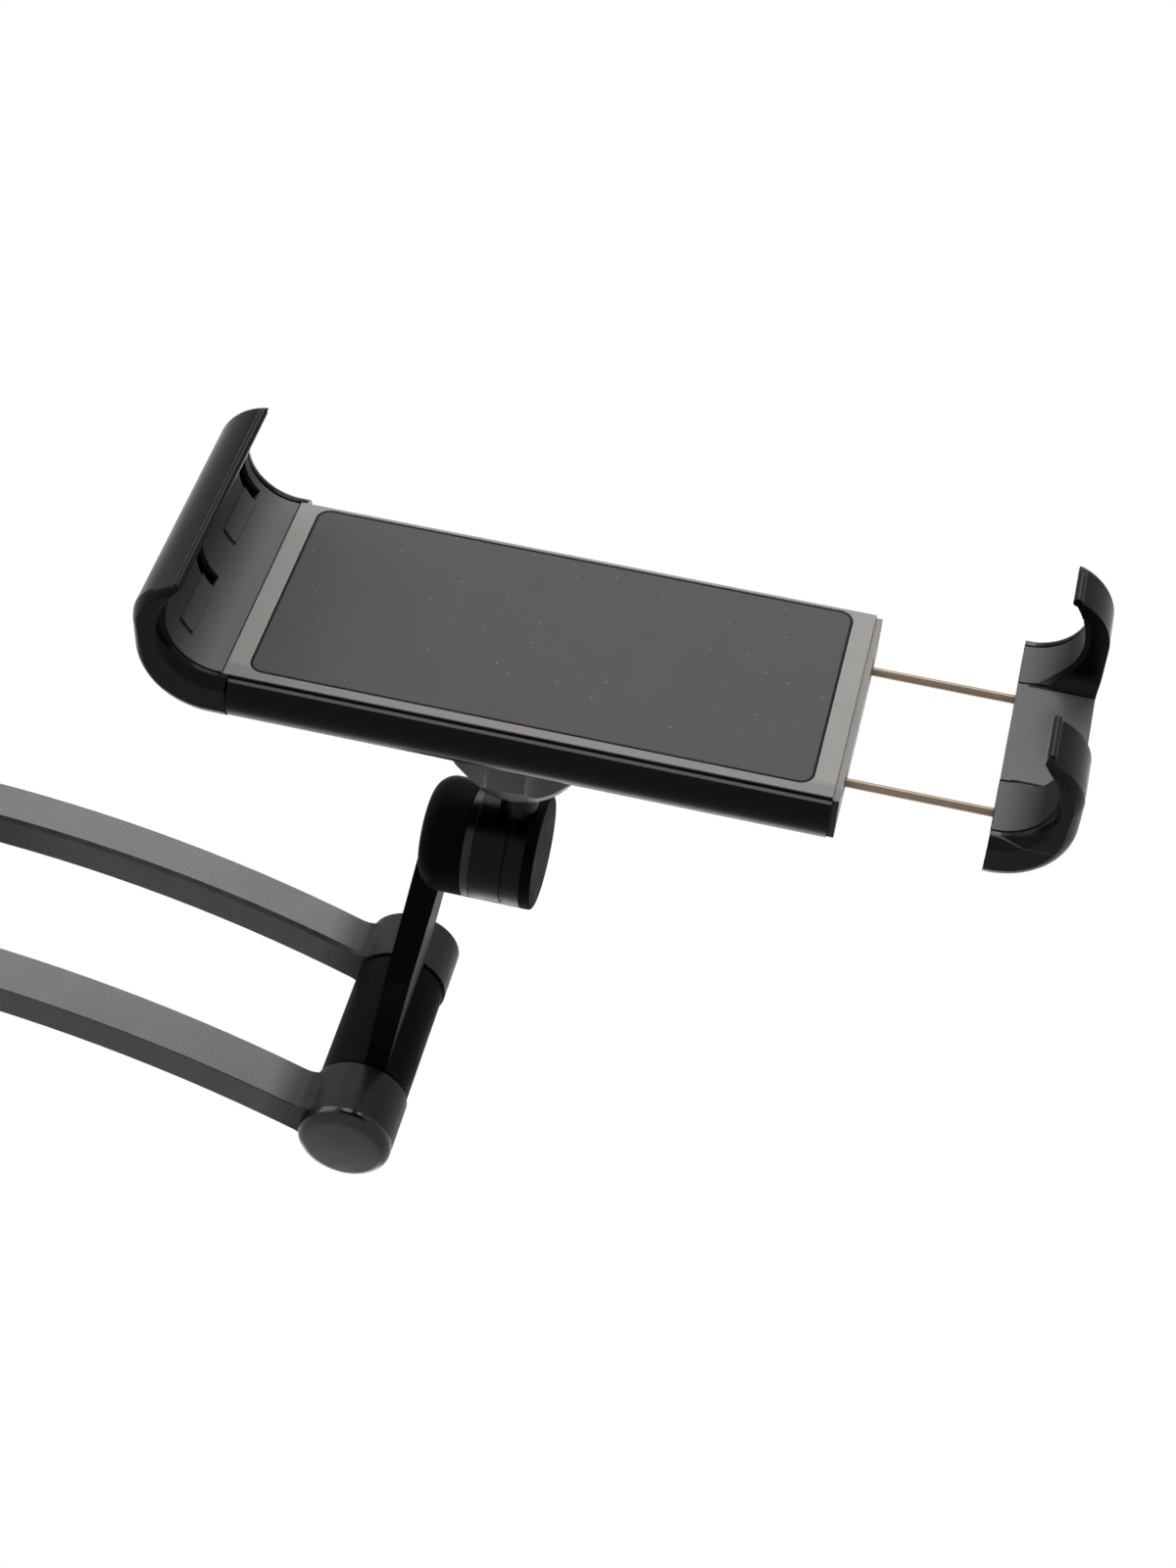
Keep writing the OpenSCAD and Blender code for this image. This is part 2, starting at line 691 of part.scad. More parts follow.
module ball_collar() color([0.7, 0.7, 0.68]) at_cradle() about_ball() difference() {
    union() {
        square([seat_r + seat_t, socket_len + eps]);
        translate([0, socket_len]) square([socket_out, collar_flange_t]);
    }
    circle(seat_r);
    polygon([[0, 0], [ball_d * tan(mouth_angle), ball_d], [0, ball_d]]);
}

// Section of the locking nut: a straight skirt and a tail that narrows towards the stem
module nut_section() {
    end_y = nut_seat + nut_lip - ball_y;
    polygon([[0, nut_from - ball_y], [nut_d / 2, nut_from - ball_y], [nut_d / 2, end_y - nut_taper],
        [nut_tail_d / 2, end_y], [0, end_y]]);
}

module lock_nut() color([0.1, 0.1, 0.11]) at_cradle() difference() {
    intersection() {
        about_ball() nut_section();
        translate([ball_x, nut_from, 0]) along_y(nut_seat + nut_lip - nut_from)
            scalloped(nut_d / 2, nut_grips, nut_scallop_r, nut_scallop);
    }
    rod_y(socket_out + turn_gap, nut_seat - nut_from + 1, [ball_x, nut_from - 1, 0]);
    rod_y(nut_mouth_r, 2 * nut_lip, [ball_x, nut_seat - 1, 0]);
}

// Section of the cradle body, with round side beads
module shell_section() intersection() {
    union() {
        translate([0, -bead_z]) square([cradle_t, 2 * bead_z]);
        for (s = [-1, 1]) translate([bead_y, s * bead_z]) circle(bead_r);
    }
    translate([cover_step, -jaw_h]) square(2 * jaw_h);
}

module back_shell() color([0.05, 0.05, 0.055]) at_cradle() difference() {
    union() {
        translate([shell_from, 0, 0]) along_x(cradle_w - shell_from) shell_section();
        rod_y(socket_out, ball_y + socket_len - cradle_t + 1, [ball_x, cradle_t - 1, 0]);
    }
    translate([-1, -1, -face_h - seat_gap]) cube([cradle_w + 2, cover_t + 1, 2 * (face_h + seat_gap)]);
    translate([shell_from + end_wall, cover_t - eps, -inner_z])
        cube([cradle_w - shell_from - 2 * end_wall, cradle_t - shell_wall - cover_t, 2 * inner_z]);
    translate([ball_x, ball_y, 0]) sphere(socket_r);
    rod_y(socket_r, ball_d, [ball_x, ball_y, 0]);
    for (s = [-1, 1]) rod_x(bush_d / 2, 3 * end_wall, [cradle_w - 2 * end_wall, rod_y, s * rod_z]);
    for (x = cover_screw_x, s = [-1, 1]) {
        rod_y(screw_head_r, 1 + screw_head_h, [x, cradle_t - screw_head_h, s * cover_screw_z]);
        rod_y(screw_r, 2 * shell_wall, [x, cradle_t - 2 * shell_wall, s * cover_screw_z]);
    }
    for (s = [-1, 1]) rod_x(screw_r, 2 * end_wall, [0, rod_y, s * jaw_screw_z]);
}

// Outline of the pad in the plane of the face, grown by the gap around it
module pad_outline(grow) {
    translate([cradle_w / 2, (pad_border_low - pad_border_high) / 2])
        rounded_rect([cradle_w - 2 * pad_border_x + 2 * grow,
            cradle_h - pad_border_low - pad_border_high + 2 * grow], pad_corner_r + grow);
}

module front_cover() color([0.36, 0.34, 0.33]) at_cradle() difference() {
    union() {
        translate([seat_gap, 0, -face_h]) cube([cradle_w - seat_gap, cover_t - eps, cradle_h]);
        for (x = cover_screw_x, s = [-1, 1]) {
            rod_y(boss_r, cradle_t - shell_wall - cover_t, [x, cover_t - 2 * eps, s * cover_screw_z]);
        }
    }
    translate([0, -1, 0]) along_y(pad_t + 1) pad_outline(seat_gap);
    for (x = cover_screw_x, s = [-1, 1]) rod_y(screw_r, cradle_t, [x, cover_t, s * cover_screw_z]);
}

module rubber_pad() color([0.22, 0.22, 0.23]) at_cradle() along_y(pad_t) pad_outline(0);

module end_plate() color([0.3, 0.29, 0.28]) at_cradle() difference() {
    translate([cradle_w, 0, 0]) along_x(end_plate_t) intersection() {
        translate([end_inset, -face_h]) square([cradle_t - 2 * end_inset, cradle_h]);
        shell_section();
    }
    for (s = [-1, 1]) rod_x(notch_r, 2 * end_plate_t, [cradle_w - end_plate_t / 2, rod_y, s * rod_z]);
}

module rod_bushes() color([0.8, 0.79, 0.76]) at_cradle() for (s = [-1, 1]) difference() {
    rod_x(bush_d / 2 - bush_gap, bush_len, [cradle_w - bush_len, rod_y, s * rod_z]);
    rod_x(rod_r + run_gap, bush_len + 2, [cradle_w - bush_len - 1, rod_y, s * rod_z]);
}

module cover_screws() color([0.5, 0.5, 0.52]) at_cradle() for (x = cover_screw_x, s = [-1, 1]) {
    rod_y(screw_head_r, screw_head_h, [x, cradle_t - screw_head_h, s * cover_screw_z]);
    rod_y(screw_r, cradle_t - cover_t - screw_head_h + eps, [x, cover_t, s * cover_screw_z]);
}

// Outline of a jaw's section in X and Y, open towards -X, without the hollow
module jaw_outer(from, reach) {
    intersection() {
        translate([reach - jaw_out_r, out_turn_y]) circle(jaw_out_r, $fn = 128);
        translate([reach - jaw_out_r, out_turn_y]) square(2 * jaw_out_r);
    }
    translate([from, out_turn_y]) square([reach - jaw_out_r - from, jaw_out_r]);
    translate([from, turn_y]) square([reach - from, out_turn_y - turn_y]);
    intersection() {
        translate([reach - lip_out_r, turn_y]) circle(lip_out_r);
        translate([lip_x, turn_y - 2 * lip_out_r]) square(2 * lip_out_r);
    }
}

// The hollow of a jaw's section, with its walls moved out by grow
module jaw_void(grow) {
    translate([-wall_x, turn_y - eps]) square([wall_x + jaw_floor, grow - turn_y + eps]);
    intersection() {
        translate([jaw_floor, turn_y]) circle(jaw_corner_r + grow);
        translate([-wall_x, turn_y - eps]) square(3 * wall_x);
    }
    intersection() {
        translate([wall_x - lip_in_r, turn_y]) circle(lip_in_r + grow);
        translate([-wall_x, turn_y - 2 * jaw_front]) square([3 * wall_x, 2 * jaw_front]);
    }
}

// Cuts the edge of radius r off a corner at the distance rad from the axis; side is 1 for an outer edge
module rim_corner(rad, r, side) {
    translate([rad - side * r, jaw_h / 2 - r]) difference() {
        translate([side < 0 ? -r - 1 : 0, 0]) square(r + 1);
        circle(r);
    }
}

// Tilts the rounding tools about the back edge of a jaw's end
module at_rim() {
    edge = [0, cradle_t, jaw_h / 2];
    translate(edge) rotate([-rim_tilt, 0, 0]) translate(-edge) children();
}

// Rounds the edges at both ends of a jaw, following the arcs of its section
module jaw_rims(reach) {
    run_in = 2 * shell_from;
    for (s = [0, 1]) mirror([0, 0, s]) at_rim() {
        translate([reach - jaw_out_r, out_turn_y, 0])
            rotate_extrude(angle = 90) rim_corner(jaw_out_r, rim_r, 1);
        translate([-run_in, out_turn_y, 0])
            along_x(reach - jaw_out_r + run_in) rim_corner(jaw_out_r, rim_r, 1);
        translate([0, turn_y, 0]) along_y(out_turn_y - turn_y) rim_corner(reach, rim_r, 1);
        translate([reach - lip_out_r, turn_y, 0]) rotate([0, 0, -90])
            rotate_extrude(angle = 90) rim_corner(lip_out_r, rim_r, 1);
        translate([jaw_floor, turn_y, 0]) rotate_extrude(angle = 90) rim_corner(jaw_corner_r, rim_in_r, -1);
        translate([wall_x - lip_in_r, turn_y, 0]) rotate([0, 0, -90])
            rotate_extrude(angle = 90) rim_corner(lip_in_r, rim_in_r, -1);
        translate([-run_in, turn_y, 0]) along_x(jaw_floor + run_in) rim_corner(jaw_corner_r, rim_in_r, -1);
    }
}

// The bar the jaws are made from, with rounded ends, of which the upper one leans out by up to lean
module jaw_blank(from, reach, lean) {
    difference() {
        translate([0, 0, -jaw_h / 2]) linear_extrude(jaw_h + lean) {
            difference() {
                jaw_outer(from, reach);
                jaw_void(0);
            }
            translate([lip_x, -jaw_front + lip_t / 2]) circle(lip_t / 2);
        }
        jaw_rims(reach);
        if (lean > 0) at_rim() translate([-jaw_h, -jaw_h, jaw_h / 2]) cube(2 * jaw_h);
    }
}

// Section of the bed for a liner, or of the liner itself; depth is measured from the inside of the jaw
module liner_section(depth, top) {
    intersection() {
        jaw_void(depth);
        translate([-wall_x, turn_y - top]) square(3 * wall_x);
    }
}

// Room for a liner between two heights
module liner_bed_cut(from, to) {
    translate([0, 0, from]) linear_extrude(to - from) liner_section(liner_bed, liner_top + liner_end_gap);
}

module liner_body(from, to) {
    translate([0, 0, from + liner_end_gap]) linear_extrude(to - from - 2 * liner_end_gap) difference() {
        liner_section(liner_t, liner_top);
        jaw_void(0);
        translate([-2 * wall_x, -2 * jaw_front]) square([2 * wall_x + jaw_seam, 4 * jaw_front]);
    }
}

module sector(r, from, to) {
    polygon([[0, 0], 2 * r * [cos(from), sin(from)], 2 * r * [cos(to), sin(to)]]);
}

// The pockets above the grip ribs of the fixed jaw
module at_pockets() {
    for (z = [-rib_z, rib_z]) translate([0, 0, z + rib_h / 2]) linear_extrude(pocket_h) children();
}

module left_jaw() color([0.06, 0.06, 0.065]) at_cradle() mirror([1, 0, 0]) difference() {
    jaw_blank(jaw_seam - shell_from, left_reach, lip_lean);
    liner_bed_cut(-jaw_h / 2 + liner_end, jaw_h / 2 - liner_end);
    at_pockets() intersection() {
        jaw_void(liner_bed + pocket_depth);
        translate([jaw_floor, turn_y]) sector(wall_x, pocket_from, pocket_to);
    }
    for (s = [-1, 1])
        rod_x(screw_r, jaw_screw_depth + 2 * shell_from, [-2 * shell_from, rod_y, s * jaw_screw_z]);
    translate([-2 * shell_from, turn_y, -face_h - seat_gap])
        cube([2 * shell_from, cover_t + seat_gap - turn_y, 2 * (face_h + seat_gap)]);
}

module left_jaw_liner() color([0.25, 0.25, 0.26]) at_cradle() mirror([1, 0, 0]) difference() {
    union() {
        liner_body(-jaw_h / 2 + liner_end, jaw_h / 2 - liner_end);
        for (z = [-rib_z, rib_z]) translate([jaw_floor, turn_y, z - rib_h / 2])
            linear_extrude(rib_h) intersection() {
                difference() {
                    circle(jaw_corner_r + rib_t);
                    circle(jaw_corner_r - rib_t);
                }
                sector(wall_x, rib_from, pocket_to);
            }
    }
    at_pockets() translate([jaw_floor, turn_y]) sector(wall_x, pocket_from, pocket_to);
}

module left_jaw_screws() color([0.5, 0.5, 0.52]) at_cradle() for (s = [-1, 1]) {
    rod_x(screw_r, jaw_screw_depth + shell_from + end_wall, [-jaw_screw_depth, rod_y, s * jaw_screw_z]);
    rod_x(screw_head_r, screw_head_h, [shell_from + end_wall, rod_y, s * jaw_screw_z]);
}

// Cuts the valley between the two hooks down to the level of the face
module hook_valley() {
    from = -jaw_h / 2 + hook_lower;
    to = jaw_h / 2 - hook_upper;
    translate([-1, 0, 0]) along_x(2 * right_reach) {
        translate([-2 * jaw_front, from]) square([2 * jaw_front - valley_r, to - from]);
        translate([-2 * jaw_front, from + valley_r]) square([2 * jaw_front, to - from - 2 * valley_r]);
        for (z = [from + valley_r, to - valley_r]) translate([-valley_r, z]) circle(valley_r);
    }
}

module at_sliding_jaw() {
    at_cradle() translate([jaw_at - jaw_seam, 0, 0]) children();
}

module right_jaw() color([0.06, 0.06, 0.065]) at_sliding_jaw() difference() {
    jaw_blank(0, right_reach, 0);
    hook_valley();
    for (bed = [lower_bed, upper_bed]) liner_bed_cut(bed[0], bed[1]);
    for (s = [-1, 1]) rod_x(rod_r, rod_in_jaw + 1, [-1 + jaw_seam, rod_y, s * rod_z]);
}

module right_jaw_liner() color([0.25, 0.25, 0.26]) at_sliding_jaw() difference() {
    for (bed = [lower_bed, upper_bed]) liner_body(bed[0], bed[1]);
    hook_valley();
}

module guide_rod(side) {
    rod_x(rod_r, rod_len, [jaw_at + rod_in_jaw - rod_len, rod_y, side * rod_z]);
}

module upper_rod() color([0.52, 0.44, 0.36]) at_cradle() guide_rod(1);

module lower_rod() color([0.52, 0.44, 0.36]) at_cradle() guide_rod(-1);

module rod_collars() color([0.5, 0.5, 0.52]) at_cradle() for (s = [-1, 1]) difference() {
    rod_x(collar_d / 2, collar_len, [jaw_at + rod_in_jaw - rod_len, rod_y, s * rod_z]);
    rod_x(rod_r, collar_len + 2, [jaw_at + rod_in_jaw - rod_len - 1, rod_y, s * rod_z]);
}

clamp_rail();
left_post_pad();
pressure_plate();
slide_bar();
right_post_pad();
lock_knob();
lock_screw();
fork_upper_bar();
fork_lower_bar();
rear_pin();
elbow_pin();
rear_cap_upper();
rear_cap_lower();
elbow_cap_upper();
elbow_cap_lower();
rear_washers();
elbow_washers();
blade_arm();
tilt_bolt();
bolt_cover();
tilt_washer();
tilt_hub();
hub_end_cap();
ball_stud();
ball_seat();
ball_collar();
lock_nut();
back_shell();
front_cover();
rubber_pad();
end_plate();
rod_bushes();
cover_screws();
left_jaw();
left_jaw_liner();
left_jaw_screws();
right_jaw();
right_jaw_liner();
upper_rod();
lower_rod();
rod_collars();
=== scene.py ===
import json

import bpy
from mathutils import Matrix, Vector


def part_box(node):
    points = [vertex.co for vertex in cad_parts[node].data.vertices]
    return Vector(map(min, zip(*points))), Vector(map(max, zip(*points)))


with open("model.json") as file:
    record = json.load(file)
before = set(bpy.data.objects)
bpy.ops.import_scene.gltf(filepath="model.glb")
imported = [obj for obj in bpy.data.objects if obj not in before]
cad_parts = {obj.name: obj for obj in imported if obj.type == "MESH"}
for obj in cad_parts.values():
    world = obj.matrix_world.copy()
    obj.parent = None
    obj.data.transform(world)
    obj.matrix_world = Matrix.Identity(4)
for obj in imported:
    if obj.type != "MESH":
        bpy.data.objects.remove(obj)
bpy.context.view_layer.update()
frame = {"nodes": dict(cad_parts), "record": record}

scene = bpy.context.scene

# Lengths are in metres, along the frame's axes: the cradle faces -Y and Z is up.

# Lower left corner of the cradle's face, in its seam with the fixed jaw; the camera is placed from it
JAW_SEAM = 0.00015
face_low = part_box("front_cover")[0]
FACE_LEFT = Vector((face_low.x - JAW_SEAM, face_low.y, face_low.z))

# camera

CAMERA_AT = FACE_LEFT + Vector((0.14834, -0.42183, -0.41175))
CAMERA_RIGHT = Vector((0.97274, -0.05585, 0.22509))
CAMERA_DOWN = Vector((0.20009, 0.69285, -0.69277))
CAMERA_AHEAD = Vector((-0.11727, 0.71892, 0.68513))

lens = bpy.data.cameras.new("camera")
lens.sensor_fit = "VERTICAL"
lens.sensor_height = 36.0
lens.lens = 67.5
lens.clip_start = 0.02
lens.clip_end = 20.0
camera = bpy.data.objects.new("camera", lens)
scene.collection.objects.link(camera)
turn = Matrix((CAMERA_RIGHT, -CAMERA_DOWN, -CAMERA_AHEAD)).transposed().to_4x4()
camera.matrix_world = Matrix.Translation(CAMERA_AT) @ turn
scene.camera = camera

# shader nodes


def node(tree, kind, **sets):
    """A new shader node with some of its properties set."""
    made = tree.nodes.new(kind)
    for key, value in sets.items():
        setattr(made, key, value)
    return made


def noise(tree, coords, size, detail):
    """Noise whose grains are about size metres across."""
    grains = node(tree, "ShaderNodeTexNoise")
    grains.inputs["Scale"].default_value = 1.0 / size
    grains.inputs["Detail"].default_value = detail
    grains.inputs["Roughness"].default_value = 0.5
    tree.links.new(coords, grains.inputs["Vector"])
    return grains.outputs["Fac"]


def ramp(tree, value, low, high, to_low=0.0, to_high=1.0):
    """Goes evenly from to_low to to_high while the value goes from low to high, and stays there beyond."""
    rise = node(tree, "ShaderNodeMapRange", clamp=True)
    rise.inputs["From Min"].default_value = low
    rise.inputs["From Max"].default_value = high
    rise.inputs["To Min"].default_value = to_low
    rise.inputs["To Max"].default_value = to_high
    tree.links.new(value, rise.inputs["Value"])
    return rise.outputs["Result"]


def mixed(tree, factor, first, second):
    """Mix of two colours, each a tuple or a socket."""
    mix = node(tree, "ShaderNodeMix", data_type="RGBA")
    tree.links.new(factor, mix.inputs["Factor"])
    for name, value in (("A", first), ("B", second)):
        socket = [s for s in mix.inputs if s.name == name and s.type == "RGBA"][0]
        if isinstance(value, bpy.types.NodeSocket):
            tree.links.new(value, socket)
        else:
            socket.default_value = (*value, 1.0)
    return [s for s in mix.outputs if s.type == "RGBA"][0]


def number(tree, operation, first, second):
    """A number worked out from the numbers of two sockets."""
    work = node(tree, "ShaderNodeMath", operation=operation)
    tree.links.new(first, work.inputs[0])
    tree.links.new(second, work.inputs[1])
    return work.outputs[0]


def vector(tree, operation, first, second=None):
    """A vector worked out from a socket's vector and, where the operation takes two, a fixed one."""
    work = node(tree, "ShaderNodeVectorMath", operation=operation)
    tree.links.new(first, work.inputs[0])
    if second is not None:
        work.inputs[1].default_value = second
    return work.outputs["Vector"]


def length(tree, first):
    """The length of a socket's vector."""
    work = node(tree, "ShaderNodeVectorMath", operation="LENGTH")
    tree.links.new(first, work.inputs[0])
    return work.outputs["Value"]


def along(tree, coords, axis):
    """The place along one axis, X, Y or Z."""
    split = node(tree, "ShaderNodeSeparateXYZ")
    tree.links.new(coords, split.inputs[0])
    return split.outputs[axis]


# a finish

MOTTLE_SIZE = 0.018
GLOSS_SIZE = 0.006
# Values of the noise between which a patch goes from one end to the other
NOISE_FROM_TO = (0.3, 0.7)


def surface(name, color, rough, metal=0.0, grain=0.0005, bump=0.00001, mottle=0.05,
            rough_spread=0.08, edge=0.0003, specular=0.5, tint=None):
    """A procedural finish: mottled colour, uneven gloss, fine grain as bumps, and edges that look soft."""
    material = bpy.data.materials.new(name)
    material.use_nodes = True
    tree = material.node_tree
    shader = tree.nodes["Principled BSDF"]
    coords = node(tree, "ShaderNodeTexCoord").outputs["Object"]

    darker = tuple(c * (1.0 - mottle) for c in color)
    lighter = tuple(min(1.0, c * (1.0 + mottle)) for c in color)
    patches = ramp(tree, noise(tree, coords, MOTTLE_SIZE, 4.0), *NOISE_FROM_TO)
    paint = mixed(tree, patches, darker, lighter)
    if tint:
        paint = tint(tree, coords, paint)
    tree.links.new(paint, shader.inputs["Base Color"])

    uneven = noise(tree, coords, GLOSS_SIZE, 5.0)
    gloss = ramp(tree, uneven, *NOISE_FROM_TO, rough - rough_spread, rough + rough_spread)
    tree.links.new(gloss, shader.inputs["Roughness"])
    shader.inputs["Metallic"].default_value = metal
    shader.inputs["Specular IOR Level"].default_value = specular

    soft = node(tree, "ShaderNodeBevel", samples=4)
    soft.inputs["Radius"].default_value = edge
    relief = node(tree, "ShaderNodeBump")
    relief.inputs["Strength"].default_value = 1.0
    relief.inputs["Distance"].default_value = bump
    tree.links.new(noise(tree, coords, grain, 2.0), relief.inputs["Height"])
    tree.links.new(soft.outputs["Normal"], relief.inputs["Normal"])
    tree.links.new(relief.outputs["Normal"], shader.inputs["Normal"])
    return material


# tints, which change the colour of a finish: each gives the function that surface calls

# Shares of a cell, from its middle: where a speck has ended, and where it is whole
SPECK_FROM_TO = (0.10, 0.05)
# How gradually the cells with a speck are told from those without
SPECK_CHOICE = 0.01
# Values of the noise at which a grain starts and is whole
GRAIN_FROM_TO = (0.45, 0.62)
# Widths over which a band fades out at its start and at its end, and a line at its inner side
BAND_SOFT = (0.00003, 0.0001)
RIM_SOFT = 0.0001


def layers(*tints):
    """Several tints, one over the other."""
    def add(tree, coords, paint):
        for tint in tints:
            paint = tint(tree, coords, paint)
        return paint
    return add


def specks(color, size, share):
    """Small dust specks: one in each cell of some size, in a share of the cells."""
    def add(tree, coords, paint):
        cells = node(tree, "ShaderNodeTexVoronoi", feature="F1")
        cells.inputs["Scale"].default_value = 1.0 / size
        tree.links.new(coords, cells.inputs["Vector"])
        dot = ramp(tree, cells.outputs["Distance"], *SPECK_FROM_TO)
        split = node(tree, "ShaderNodeSeparateColor")
        tree.links.new(cells.outputs["Color"], split.inputs["Color"])
        chosen = ramp(tree, split.outputs["Red"], 1.0 - share, 1.0 - share + SPECK_CHOICE)
        return mixed(tree, number(tree, "MULTIPLY", dot, chosen), paint, color)
    return add


def grainy(color, size, amount):
    """The fine grains of a powder coat."""
    def add(tree, coords, paint):
        grains = ramp(tree, noise(tree, coords, size, 2.0), *GRAIN_FROM_TO, 0.0, amount)
        return mixed(tree, grains, paint, color)
    return add


def fade(corner, axis, start, end, color):
    """Fades into another colour along an axis, between two distances from a corner."""
    origin = corner["XYZ".index(axis)]
    def add(tree, coords, paint):
        faded = ramp(tree, along(tree, coords, axis), origin + start, origin + end)
        return mixed(tree, faded, paint, color)
    return add


def band(corner, axis, start, end, color):
    """A band of another colour across an axis, between two distances from a corner."""
    origin = corner["XYZ".index(axis)]
    low, high = origin + start, origin + end
    def add(tree, coords, paint):
        place = along(tree, coords, axis)
        above = ramp(tree, place, low - BAND_SOFT[0], low)
        below = ramp(tree, place, high, high - BAND_SOFT[1])
        return mixed(tree, number(tree, "MULTIPLY", above, below), paint, color)
    return add


def around(pin, inner, outer, color):
    """Fades into another colour towards the upright axis of a pin, from the outer to the inner radius."""
    low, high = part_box(pin)
    axis_at = ((low.x + high.x) / 2, (low.y + high.y) / 2, 0.0)
    def add(tree, coords, paint):
        apart = vector(tree, "SUBTRACT", coords, axis_at)
        level = vector(tree, "MULTIPLY", apart, (1.0, 1.0, 0.0))
        return mixed(tree, ramp(tree, length(tree, level), outer, inner), paint, color)
    return add


def rim(piece, corner, width, color):
    """A line of some width along the edge of an upright plate whose corners are rounded."""
    low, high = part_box(piece)
    middle = ((low.x + high.x) / 2, 0.0, (low.z + high.z) / 2)
    # Half of each straight edge, and along Y a length that no piece reaches, so that Y doesn't count
    half = ((high.x - low.x) / 2 - corner, 1.0, (high.z - low.z) / 2 - corner)
    def add(tree, coords, paint):
        apart = vector(tree, "ABSOLUTE", vector(tree, "SUBTRACT", coords, middle))
        past = vector(tree, "MAXIMUM", vector(tree, "SUBTRACT", apart, half), (0.0, 0.0, 0.0))
        line = ramp(tree, length(tree, past), corner - width - RIM_SOFT, corner - width)
        return mixed(tree, line, paint, color)
    return add


# the bars: powder grains, and painted shade: a black line low on the upper one, a slate one low on the
# other, and dark rings round the pins

UPPER_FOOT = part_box("fork_upper_bar")[0]
LOWER_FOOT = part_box("fork_lower_bar")[0]
# The radii between which the painted shade on the rings round the pins fades in, and its colour
RING_RADII = (0.0125, 0.022)
RING_SHADE = (0.022, 0.022, 0.021)
bar_tint = layers(
    grainy((0.30, 0.29, 0.28), 0.0004, 0.40),
    # Painted shade along the lower front edge of each bar: black on the upper one, slate on the lower
    band(UPPER_FOOT, "Z", 0.00026, 0.0019, (0.001, 0.001, 0.002)),
    band(LOWER_FOOT, "Z", 0.00026, 0.0006, (0.02, 0.025, 0.035)),
    # Painted shade on the rings round the pins, growing towards each pin
    around("elbow_pin", *RING_RADII, RING_SHADE),
    around("rear_pin", *RING_RADII, RING_SHADE),
)

# the border: a little darker below the pad, and black at its lower edge

border_tint = layers(
    fade(FACE_LEFT, "Z", 0.0045, 0.0028, (0.27, 0.258, 0.25)),
    fade(FACE_LEFT, "Z", 0.0004, 0.0001, (0.012, 0.012, 0.013)),
)

# the pad: dust, and a dark line round its edge

PAD_CORNER = 0.003
pad_tint = layers(
    specks((0.28, 0.28, 0.29), 0.0026, 0.55),
    rim("rubber_pad", PAD_CORNER, 0.0004, (0.015, 0.015, 0.016)),
)

# painted highlights: the light lines on the sliding jaw and the shell; and the greys of the liners, which
# darken outwards with painted shade under the lips

# Painted highlights: a light line on the sliding jaw's face and one along the shell's front edge
jaw_highlight = band(FACE_LEFT, "Y", -0.0001, 0.0002, (0.14, 0.14, 0.142))
shell_highlight = band(FACE_LEFT, "Y", 0.00055, 0.0010, (0.34, 0.325, 0.315))
# Painted shade on the liners, darkening them outwards under the jaws' lips
left_liner_shade = fade(FACE_LEFT, "X", -0.003, -0.0155, (0.003, 0.003, 0.0035))
right_liner_shade = fade(FACE_LEFT, "X", 0.160, 0.169, (0.02, 0.02, 0.021))

GLOSS_BLACK = dict(color=(0.0015, 0.0016, 0.0019), grain=0.0006, bump=0.000008, mottle=0.06,
                   rough_spread=0.04, edge=0.0004)
LINER_GREY = dict(rough=0.60, grain=0.0006, mottle=0.03, rough_spread=0.03, specular=0.06)

# One finish for each material slot of the record
SLOT_FINISHES = {
    "clamp_black": dict(color=(0.014, 0.014, 0.0155), rough=0.50, bump=0.00004, specular=0.2),
    "knob_black": dict(color=(0.012, 0.012, 0.0135), rough=0.42, bump=0.00003, specular=0.2),
    "jaw_black": dict(GLOSS_BLACK, rough=0.24, specular=0.07),
    "border_grey": dict(color=(0.36, 0.345, 0.33), rough=0.50, mottle=0.02, rough_spread=0.03,
                        specular=0.2, tint=border_tint),
    "pad_rubber": dict(color=(0.112, 0.115, 0.120), rough=0.72, grain=0.0006, bump=0.00002,
                       mottle=0.02, rough_spread=0.03, specular=0.1, tint=pad_tint),
    "grip_rubber": dict(color=(0.035, 0.035, 0.038), rough=0.55, bump=0.00002, specular=0.2),
    "bar_coat": dict(color=(0.232, 0.229, 0.226), rough=0.44, grain=0.00035, bump=0.00003,
                     mottle=0.03, specular=0.1, tint=bar_tint),
    "joint_coat": dict(color=(0.001, 0.001, 0.0012), rough=0.26, edge=0.0005, specular=0.08),
    "cap_plastic": dict(color=(0.003, 0.003, 0.0035), rough=0.22, grain=0.0006, specular=0.3),
    "washer_steel": dict(color=(0.020, 0.019, 0.018), rough=0.28, metal=1.0, grain=0.0003,
                         bump=0.000004, rough_spread=0.05, edge=0.0001),
    "pin_steel": dict(color=(0.40, 0.40, 0.41), rough=0.28, metal=1.0, grain=0.0003, edge=0.0002),
    "rod_steel": dict(color=(0.15, 0.115, 0.085), rough=0.30, metal=1.0, grain=0.0004,
                      mottle=0.1, edge=0.0001),
    "nylon": dict(color=(0.55, 0.54, 0.51), rough=0.45, mottle=0.03),
}

# Further finishes, for nodes that in the photo don't look quite like the rest of their slot
NODE_FINISHES = {
    "right_inner": dict(LINER_GREY, color=(0.16, 0.162, 0.165), tint=right_liner_shade),
    "left_inner": dict(LINER_GREY, color=(0.19, 0.193, 0.197), tint=left_liner_shade),
    "blade_coat": dict(color=(0.008, 0.0082, 0.0076), rough=0.50, bump=0.00002, edge=0.0004,
                       specular=0.01),
    "nut_grey": dict(color=(0.03, 0.03, 0.031), rough=0.36, bump=0.00002, specular=0.3),
    "jaw_face": dict(GLOSS_BLACK, rough=0.26, specular=0.09, tint=jaw_highlight),
    "shell_black": dict(GLOSS_BLACK, rough=0.24, specular=0.07, tint=shell_highlight),
    "end_black": dict(color=(0.004, 0.004, 0.004), rough=0.7, specular=0.02),
}

